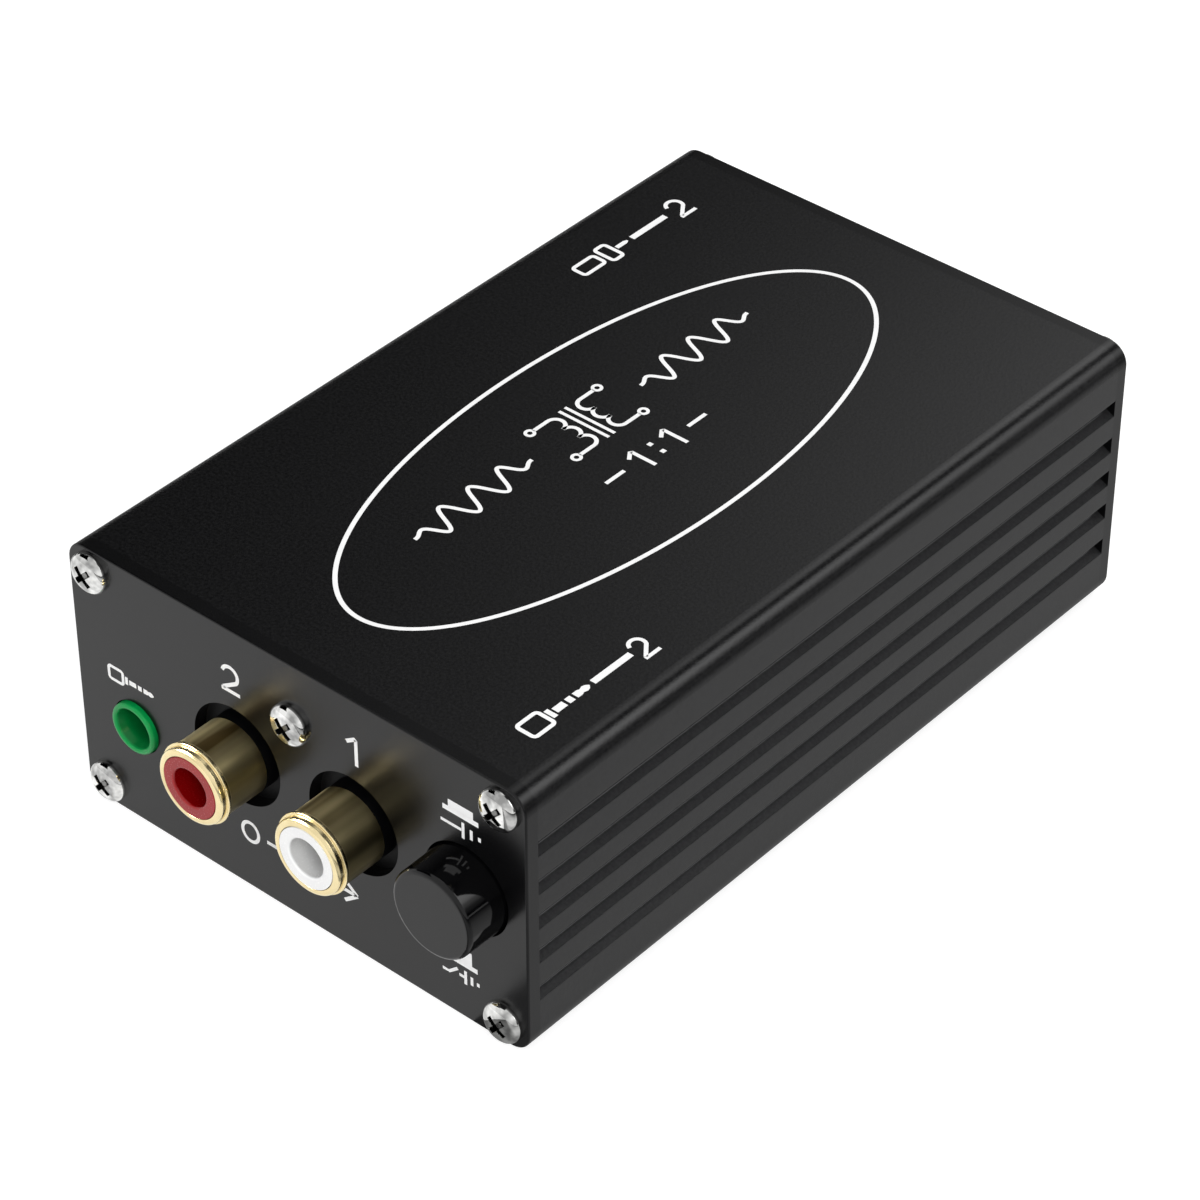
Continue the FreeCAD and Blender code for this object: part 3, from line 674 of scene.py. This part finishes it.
def makeScrews(size, turns):
    # one screw at each corner and one between the sockets, on both plates, each at its own turn
    cornerX, cornerZ = size["corner"]
    finish = [finishOfSlot[slot] for slot in ("screw_nickel", "recess_dark", "recess_floor")]
    corners = {"lowLeft": (-cornerX, -cornerZ), "lowRight": (cornerX, -cornerZ),
               "highLeft": (-cornerX, cornerZ), "highRight": (cornerX, cornerZ)}
    for end, extra in (("front", 0), ("rear", rearTurn)):
        shells = []
        for name, (x, z) in corners.items():
            points, faces, kinds = screwShell(size, turns[name] + extra)
            shells.append((atEnd(points, x, size["middle"] + z, end, size), faces, kinds))
        screws = makePiece(end + "_corner_screws", shells, finish, "case", size["smooth"])
        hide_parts(end + "_panel_screws")
        points, faces, kinds = screwShell(size, turns["jack"] + extra)
        shell = (atEnd(points, 0, size["jackHeight"], end, size), faces, kinds)
        screw = makePiece(end + "_socket_screw", [shell], finish, "case", size["smooth"])
        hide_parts(end + "_jack_screw")


makeScrews(screwSize, screwTurns)


print("stage: socket shells")
shellSize = {
    "axis": (7.2, 15.5), "face": 49.8, "bore": 3.25, "body": 3.95, "tube": 3.6, "step": 5.9, "end": 11.6,
    "around": 176, "rows": 10, "smooth": 35,
    "bends": (                  # (centre radius, depth), (half width, half depth), from and to in degrees
        ((3.35, 0.10), (0.10, 0.10), 180, 270),         # mouth
        ((3.52, 0.38), (0.43, 0.38), 270, 360),         # round rim
        ((3.95, 0.44), (0.00, 0.02), 270, 360),         # band behind it
        ((3.97, 0.74), (0.00, 0.02), 270, 360),
        ((4.09, 0.77), (0.11, 0.03), 180, 90),          # hollow step up to the flange
        ((4.10, 0.90), (0.10, 0.10), 270, 360),         # flange, front edge
        ((4.12, 1.06), (0.08, 0.08), 0, 90),            # flange, back edge
        ((4.03, 1.26), (0.08, 0.08), 270, 180),         # root
    ),
}


def shellOutline(size):
    # closed half section as (radius, depth behind the face), from the bore's end over the rim to the tube
    points = [np.array([(size["bore"], size["end"])])]
    for (radius, depth), (wide, deep), start, end in size["bends"]:
        t = np.radians(np.linspace(start, end, size["rows"]))
        points.append(np.stack([radius + wide * np.cos(t), depth + deep * np.sin(t)], 1))
    points.append(np.array([(size["body"], size["step"]), (size["tube"], size["step"]),
                            (size["tube"], size["end"])]))
    return np.concatenate(points)


def makeShells(size):
    # the outline turned about each socket's axis; the rear pair is the front one turned half round; only
    # these shells reflect the barrel card
    radius, depth = shellOutline(size).T[:, :, None]
    t = np.arange(size["around"]) / size["around"] * 2 * np.pi
    across, height = size["axis"]
    faces = gridFaces(len(radius), len(t), True, True)
    for end, turn in (("front", 1), ("rear", -1)):
        for colour, side in (("red", -1), ("white", 1)):
            grid = np.broadcast_arrays(across * side + radius * np.cos(t), depth - size["face"],
                                       height + radius * np.sin(t))
            points = np.stack(grid, 2).reshape(-1, 3) * np.array([turn, turn, 1])
            shell = makePiece(end + "_" + colour + "_turned_shell", [(points, faces)],
                              [finishOfSlot["socket_gold"]], "case", size["smooth"])
            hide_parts(end + "_" + colour + "_shell")
            barrelCard.light_linking.receiver_collection.objects.link(shell)


makeShells(shellSize)


print("stage: switch spring")
springSize = {"turns": 5, "wire": 0.2, "closed": 0.38, "steps": 420, "around": 14, "smooth": 50}


def makeSpring(size):
    # wire wound about a lengthwise axis inside the CAD spring's box, flat for the closed share of a turn
    #  at both ends and rising evenly between
    low, high = (np.array(corner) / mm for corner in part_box("switch_spring"))
    centre, reach = (low + high) / 2, (high[0] - low[0]) / 2 - size["wire"]
    turn = np.linspace(0, size["turns"], size["steps"])[:, None]
    rise = np.clip((turn - size["closed"]) / (size["turns"] - 2 * size["closed"]), 0, 1)
    start, end = low[1] + size["wire"], high[1] - size["wire"]
    turn = turn * 2 * np.pi
    t = np.linspace(0, 2 * np.pi, size["around"], endpoint=False)[None, :]
    radius = reach + size["wire"] * np.cos(t)
    along = start + (end - start) * rise + size["wire"] * np.sin(t)
    points = np.stack([centre[0] + radius * np.cos(turn), along, centre[2] + radius * np.sin(turn)], 2)
    faces = gridFaces(size["steps"], size["around"], False, True).tolist()
    last = size["around"] * (size["steps"] - 1)
    faces += [list(range(size["around"])), [last + k for k in reversed(range(size["around"]))]]
    spring = makePiece("switch_wound_spring", [(points.reshape(-1, 3), faces)],
                       [finishOfSlot["spring_steel"]], None, size["smooth"])
    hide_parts("switch_spring")
    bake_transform(spring)


makeSpring(springSize)


print("stage: printed marks")
inkSize = {
    "low": 0.002, "high": 0.014,                # above the surface that carries the print
    "roof": 30.0, "plate": 43.7,                # where those surfaces are
}
roofPrint = {                   # u along the case, v to the left: place, sizes, then the line's width
    "ring": (0.05, -0.34, 35.27, 14.4, 0.46, 240),
    "transformer": (0.4, 0.5, 6.2, 2.0, 0.42),
    "waves": ((-23.4, 3.6, 16.0, 3.2, 4, 0.42), (8.2, 3.6, 16.0, 3.2, 4, 0.42)),
    "ones": ((-1.7, -5.6, 3.2, 2.0, 0.42), (2.9, -5.6, 3.2, 2.0, 0.42)),
    "colon": ((1.35, 1.85, -4.75, 0.5), (1.35, 1.85, -3.15, 0.5)),
    "dashes": (((-5.7, -4.0), (-3.1, -4.0), 0.42), ((6.1, -4.0), (8.7, -4.0), 0.42)),
    "phonoPlug": (18.6, 19.05, 7.6, 3.1, 0.42),
    "phonoLead": ((26.8, 20.57), (32.0, 20.57), 0.7), "phonoNumber": (32.95, 19.0, 3.2, 2.2, 0.42),
    "smallPlug": (-37.3, -23.4, 8.6, 3.0, 0.42),
    "smallLead": ((-28.2, -21.85), (-23.1, -21.85), 0.7), "smallNumber": (-22.75, -23.45, 3.0, 2.0, 0.4),
}
platePrint = {                  # u to the right as the plate is faced, v up
    "plug": (-23.8, 15.5, 6.0, 2.1, 0.34),
    "redNumber": (-8.6, 22.6, 3.2, 2.3, 0.4), "whiteNumber": (6.6, 22.6, 3.2, 2.2, 0.4),
    "circle": (-6.1, 6.85, 1.2, 1.3, 0.38, 60),
    "arrowOut": (-4.0, 7.3, 6.85, 1.6, 0.4), "arrowIn": (7.3, -4.0, 6.85, 1.6, 0.4),
    "buttons": ((18.15, 22.3, 24.0, 0.55), (18.8, 21.7, 24.68, 0.84),
                (17.65, 21.8, 6.48, 0.55), (18.4, 21.15, 7.5, 1.5)),
    "closedLead": ((17.9, 22.4), (20.3, 22.4), 0.32), "closedEarth": (20.5, 22.4, 1.8, 0.95, 0.32),
    "openBlade": (((17.6, 4.6), (18.4, 4.6), (19.4, 5.5)), 0.32),
    "openLead": ((19.6, 4.93), (20.2, 4.93), 0.32), "openEarth": (20.35, 4.93, 1.6, 0.75, 0.32),
}


def ribbon(path, width, closed=False):
    # flat band of ink: the path moved half a width to each side, at two heights, its ends capped
    path = np.asarray(path, float)
    half = np.broadcast_to(np.asarray(width, float) / 2, len(path))[:, None]
    if closed:
        ahead = np.roll(path, -1, 0) - np.roll(path, 1, 0)
    else:
        ahead = np.gradient(path, axis=0)
    ahead = ahead / np.linalg.norm(ahead, axis=1)[:, None]
    side = np.stack([-ahead[:, 1], ahead[:, 0]], 1)
    left, right = path + side * half, path - side * half
    low, high = (np.full((len(path), 1), inkSize[k]) for k in ("low", "high"))
    corners = ((left, low), (left, high), (right, high), (right, low))
    section = np.stack([np.hstack(corner) for corner in corners], 1)
    faces = gridFaces(len(path), 4, closed, True).tolist()
    if not closed:
        last = 4 * (len(path) - 1)
        faces += [[0, 1, 2, 3], [last + 3, last + 2, last + 1, last]]
    return section.reshape(-1, 3), faces


def line(a, b):
    # the two ends of a straight path
    return np.linspace(a, b, 2)


def stroke(a, b, pen):
    # straight band from a to b
    return ribbon(line(a, b), pen)


def arc(centre, radius, start, end, count=24):
    # circle about the centre from one angle to another, in degrees
    t = np.radians(np.linspace(start, end, count))
    return np.stack([centre[0] + radius * np.cos(t), centre[1] + radius * np.sin(t)], 1)


def ring(u, v, radiusU, radiusV, width, count=160):
    # ellipse with the line inside its outer edge
    t = np.arange(count) / count * 2 * np.pi
    path = np.stack([u + (radiusU - width / 2) * np.cos(t), v + (radiusV - width / 2) * np.sin(t)], 1)
    return ribbon(path, width, True)


def numberTwo(u, v, high, wide, pen):
    # round top, slanting stroke, foot
    r = wide / 2 - pen / 2
    top = arc((u + wide / 2, v + high - pen / 2 - r), r, 165, -38)
    slant = line(top[-1], (u + pen * 0.55, v + pen * 0.9))
    foot = line((u, v + pen / 2), (u + wide, v + pen / 2))
    return [ribbon(np.concatenate([top, slant[1:]]), pen), ribbon(foot, pen)]


def numberOne(u, v, high, wide, pen):
    # flag and upright stroke in one line
    x = u + wide * 0.62
    top = v + high - pen * 0.3
    path = [(u + wide * 0.1, v + high * 0.74), (x - pen * 0.2, top), (x, top - pen * 0.2), (x, v)]
    return [ribbon(path, pen)]


def evenBar(left, right, v, width):
    # straight band along u at height v
    return solidBar([(left, v, width), (right, v, width)])


def solidBar(widths):
    # silhouette along u from (u, v, width) stops
    stops = np.array(widths, float)
    return ribbon(stops[:, :2], stops[:, 2])


def roundBox(left, right, mid, high, pen):
    # outline of a box with round corners, the line inside its outer edge
    r, half = pen * 0.9, (high - pen) / 2
    left, right = left + pen / 2, right - pen / 2
    corners = ((right - r, mid - half + r, -90), (right - r, mid + half - r, 0),
               (left + r, mid + half - r, 90), (left + r, mid - half + r, 180))
    return ribbon(np.concatenate([arc((x, y), r, a, a + 90, 7) for x, y, a in corners]), pen, True)


def smallPlug(u, v, long, high, pen):
    # plug with a round shaft: outlined sleeve, neck, two rings, pointed tip
    at = lambda share: u + long * share
    mid = v + high / 2
    parts = [
        [(0.38, 0.42), (0.44, 0.42)], [(0.47, 0.26), (0.62, 0.26)], [(0.66, 0.26), (0.74, 0.26)],
        [(0.78, 0.26), (0.85, 0.26), (0.88, 0.18), (0.93, 0.27), (0.97, 0.20), (1.00, 0.03)],
    ]
    return [roundBox(u, at(0.36), mid, high * 0.88, pen)] + [
        solidBar([(at(share), mid, high * width) for share, width in part]) for part in parts]


def phonoPlug(u, v, long, high, pen):
    # outlined handle, wide collar, pin
    at = lambda share: u + long * share
    mid = v + high / 2
    parts = [[(0.78, 0.17), (0.95, 0.17), (1.00, 0.06)]]
    return [roundBox(u, at(0.46), mid, high * 0.7, pen), roundBox(at(0.5), at(0.75), mid, high, pen)] + [
        solidBar([(at(share), mid, high * width) for share, width in part]) for part in parts]


def coil(u, v, radius, loops, side, pen):
    # upright winding: half circles one above another, bulging to one side
    centres = [(u, v + radius * (2 * k + 1)) for k in range(loops)]
    return [ribbon(arc(centre, radius, -90, -90 + side * 180, 20), pen) for centre in centres]


def transformerSign(u, v, high, lead, pen):
    # winding, two core lines, winding; leads run out from both ends of each winding to small rings
    radius = (high - pen) / 6
    base = radius + pen * 3.2
    marks = [ribbon(line((u + x, v), (u + x, v + high)), pen * 0.85) for x in (-pen, pen)]
    for side in (-1, 1):
        marks += coil(u - side * base, v + pen / 2, radius, 3, side, pen)
        for height in (v + pen / 2, v + high - pen / 2):
            marks.append(ribbon(line((u - side * base, height), (u - side * (base + lead), height)), pen))
            marks.append(dot(u - side * (base + lead + 0.5), height, 0.6, pen * 0.8))
    return marks


def waveLine(u, v, long, high, periods, pen):
    # sine line that swells from nothing and dies away
    t = np.linspace(0, 1, 40 * periods)
    swell = smoothStep(np.minimum(t, 1 - t) * 5)
    path = np.stack([u + long * t, v + high / 2 * swell * np.sin(2 * np.pi * periods * t)], 1)
    return ribbon(path, pen)


def dot(u, v, radius, pen):
    # small open circle
    return ring(u, v, radius, radius, pen, 40)


def earthSign(u, v, high, step, pen):
    # three upright bars about height v, shorter to the right
    return [ribbon(line((u + step * k, v - high / 2 * share), (u + step * k, v + high / 2 * share)), pen)
            for k, share in enumerate((1.0, 0.62, 0.26))]


def arrowLine(tail, tip, v, head, pen):
    # straight line with an open arrowhead at its tip
    back = math.copysign(head, tail - tip)
    marks = [ribbon(line((tail, v), (tip + back * 0.15, v)), pen)]
    return marks + [ribbon(line((tip, v), (tip + back, v + side * head * 0.8)), pen) for side in (-1, 1)]


def topMarks(sizes):
    # ring with circuit sign, waves and ratio; a plug sign with its lead and number near two corners
    marks = [ring(*sizes["ring"])] + transformerSign(*sizes["transformer"])
    marks += [waveLine(*wave) for wave in sizes["waves"]]
    marks += [part for one in sizes["ones"] for part in numberOne(*one)]
    marks += [evenBar(*point) for point in sizes["colon"]] + [stroke(*dash) for dash in sizes["dashes"]]
    marks += phonoPlug(*sizes["phonoPlug"]) + [stroke(*sizes["phonoLead"])]
    marks += numberTwo(*sizes["phonoNumber"])
    marks += smallPlug(*sizes["smallPlug"]) + [stroke(*sizes["smallLead"])]
    return marks + numberTwo(*sizes["smallNumber"])


def plateMarks(sizes, front):
    # plug sign, socket numbers, circle with the arrow out of it or into it, in front the button's signs
    marks = smallPlug(*sizes["plug"])
    marks += numberTwo(*sizes["redNumber"]) + numberOne(*sizes["whiteNumber"])
    marks += [ring(*sizes["circle"])] + arrowLine(*sizes["arrowOut" if front else "arrowIn"])
    if not front:
        return marks
    marks += [evenBar(*bar) for bar in sizes["buttons"]]
    marks += [stroke(*sizes["closedLead"])] + earthSign(*sizes["closedEarth"])
    marks += [ribbon(*sizes["openBlade"]), stroke(*sizes["openLead"])]
    return marks + earthSign(*sizes["openEarth"])


def printOn(name, marks, place):
    # the marks as one piece, each point (u, v, height) moved by the given place
    shells = [(place(*points.T), faces) for points, faces in marks]
    makePiece(name, shells, [printInk], "case")


def onRoof(u, v, height):
    # u along the case and v to its left
    return np.stack([-v, u, inkSize["roof"] + height], 1)


def onFront(u, v, height):
    # u across and v up, facing the front plate
    return np.stack([u, -inkSize["plate"] - height, v], 1)


def onRear(u, v, height):
    # the same, facing the rear plate
    return np.stack([-u, inkSize["plate"] + height, v], 1)


printOn("roof_print", topMarks(roofPrint), onRoof)
printOn("front_print", plateMarks(platePrint, True), onFront)
printOn("rear_print", plateMarks(platePrint, False), onRear)


print("stage: sizes")
